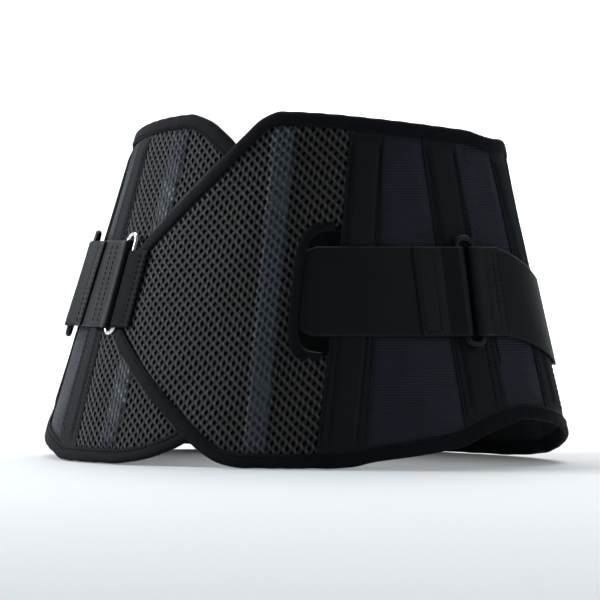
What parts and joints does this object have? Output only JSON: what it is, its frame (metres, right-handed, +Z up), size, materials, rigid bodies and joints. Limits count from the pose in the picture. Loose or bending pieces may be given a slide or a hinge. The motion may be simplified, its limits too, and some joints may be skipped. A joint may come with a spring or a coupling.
{
  "type": "back brace",
  "caption": "Lumbar support belt with crossing mesh back panels, side rings with pull straps, sewn-in stays and an overlapping front closure.",
  "frame": {"origin": "middle of the bounding box at the level of the lower edges, which is the surface the brace stands on", "axes": "+X the wearer's right, +Y the wearer's front, +Z up; the back panels cross at -Y"},
  "size_m": [0.3616, 0.2718, 0.2187],
  "materials": {
    "mesh_fabric": "open double raschel mesh, matt, near black with grey-brown yarns",
    "power_mesh": "ribbed elastic mesh, near black with a blue-purple cast",
    "webbing": "plain woven tape, near black",
    "binding_tape": "black folded binding tape",
    "strap_fabric": "brushed loop fabric, dark grey-green with a soft sheen",
    "hook_fabric": "black hook tape",
    "black_plastic": "black moulded plastic",
    "ring_metal": "bright nickel-plated wire",
    "stay_metal": "flat aluminium strip"
  },
  "bodies": {
    "left_half": {"back_panel_left": "mesh_fabric", "upper_binding_left": "binding_tape", "lower_binding_left": "binding_tape", "back_stay_left": "stay_metal", "back_stay_pocket_left": "webbing", "seam_tape_left": "webbing", "seam_stay_left": "stay_metal", "side_mesh_left": "power_mesh", "side_tape_left": "webbing", "side_stay_left": "stay_metal", "flank_mesh_left": "power_mesh", "front_tape_left": "webbing", "front_stay_left": "stay_metal", "cross_strap_right": "strap_fabric"},
    "right_half": {"back_panel_right": "mesh_fabric", "upper_binding_right": "binding_tape", "lower_binding_right": "binding_tape", "back_stay_right": "stay_metal", "back_stay_pocket_right": "webbing", "seam_tape_right": "webbing", "seam_stay_right": "stay_metal", "side_mesh_right": "power_mesh", "side_tape_right": "webbing", "side_stay_right": "stay_metal", "flank_mesh_right": "power_mesh", "front_tape_right": "webbing", "front_stay_right": "stay_metal", "slot_binding": "binding_tape", "tip_ring": "ring_metal", "tip_loop": "binding_tape", "cross_strap_left": "strap_fabric"},
    "right_flap": {"front_panel_right": "strap_fabric", "flap_binding_right": "binding_tape", "hook_patch_right": "hook_fabric"},
    "left_flap": {"front_panel_left": "strap_fabric", "flap_binding_left": "binding_tape", "loop_patch_left": "strap_fabric"},
    "right_side_ring": {"side_ring_right": "black_plastic"},
    "right_pull_strap": {"pull_strap_right": "strap_fabric", "strap_hook_right": "hook_fabric"},
    "right_pull_tab": {"pull_tab_right": "webbing"},
    "left_side_ring": {"side_ring_left": "black_plastic"},
    "left_pull_strap": {"pull_strap_left": "strap_fabric", "strap_hook_left": "hook_fabric"},
    "left_pull_tab": {"pull_tab_left": "webbing"}
  },
  "joints": [
    {"name": "back_tighten", "type": "hinge", "parent": "left_half", "child": "right_half", "pos_m": [0, 0.07246, 0.1095], "axis": [0, 0, 1], "range_deg": [-4, 0]},
    {"name": "right_flap_open", "type": "hinge", "parent": "right_half", "child": "right_flap", "pos_m": [0.15112, 0.03945, 0.10905], "axis": [0.2208, 0.051, -0.974], "range_deg": [0, 75]},
    {"name": "left_flap_open", "type": "hinge", "parent": "left_half", "child": "left_flap", "pos_m": [-0.15112, 0.03945, 0.10905], "axis": [0.2208, -0.051, 0.974], "range_deg": [0, 60]},
    {"name": "right_ring_swing", "type": "hinge", "parent": "left_half", "child": "right_side_ring", "pos_m": [0.14059, -0.03811, 0.107], "axis": [0.2337, -0.1729, -0.9568], "range_deg": [0, 20]},
    {"name": "right_strap_swing", "type": "hinge", "parent": "right_side_ring", "child": "right_pull_strap", "pos_m": [0.14684, -0.02967, 0.107], "axis": [0.2337, -0.1729, -0.9568], "range_deg": [0, 60]},
    {"name": "left_ring_swing", "type": "hinge", "parent": "right_half", "child": "left_side_ring", "pos_m": [-0.13949, -0.03729, 0.1115], "axis": [0.2337, 0.1729, 0.9568], "range_deg": [0, 20]},
    {"name": "left_strap_swing", "type": "hinge", "parent": "left_side_ring", "child": "left_pull_strap", "pos_m": [-0.14574, -0.02885, 0.1115], "axis": [0.2337, 0.1729, 0.9568], "range_deg": [0, 60]},
    {"name": "right_tab_peel", "type": "hinge", "parent": "right_pull_strap", "child": "right_pull_tab", "pos_m": [0.09522, 0.09624, 0.08114], "axis": [0.0693, 0.1039, -0.9922], "range_deg": [0, 50]},
    {"name": "left_tab_peel", "type": "hinge", "parent": "left_pull_strap", "child": "left_pull_tab", "pos_m": [-0.0949, 0.09577, 0.08564], "axis": [0.0693, -0.1039, 0.9922], "range_deg": [0, 50]}
  ],
  "couplings": [
    {"joint": "left_flap_open", "follows": "right_flap_open", "ratio": 0.8},
    {"joint": "right_ring_swing", "follows": "right_flap_open", "ratio": 0.25},
    {"joint": "right_strap_swing", "follows": "right_flap_open", "ratio": 0.75},
    {"joint": "left_ring_swing", "follows": "right_flap_open", "ratio": 0.2},
    {"joint": "left_strap_swing", "follows": "right_flap_open", "ratio": 0.6}
  ]
}
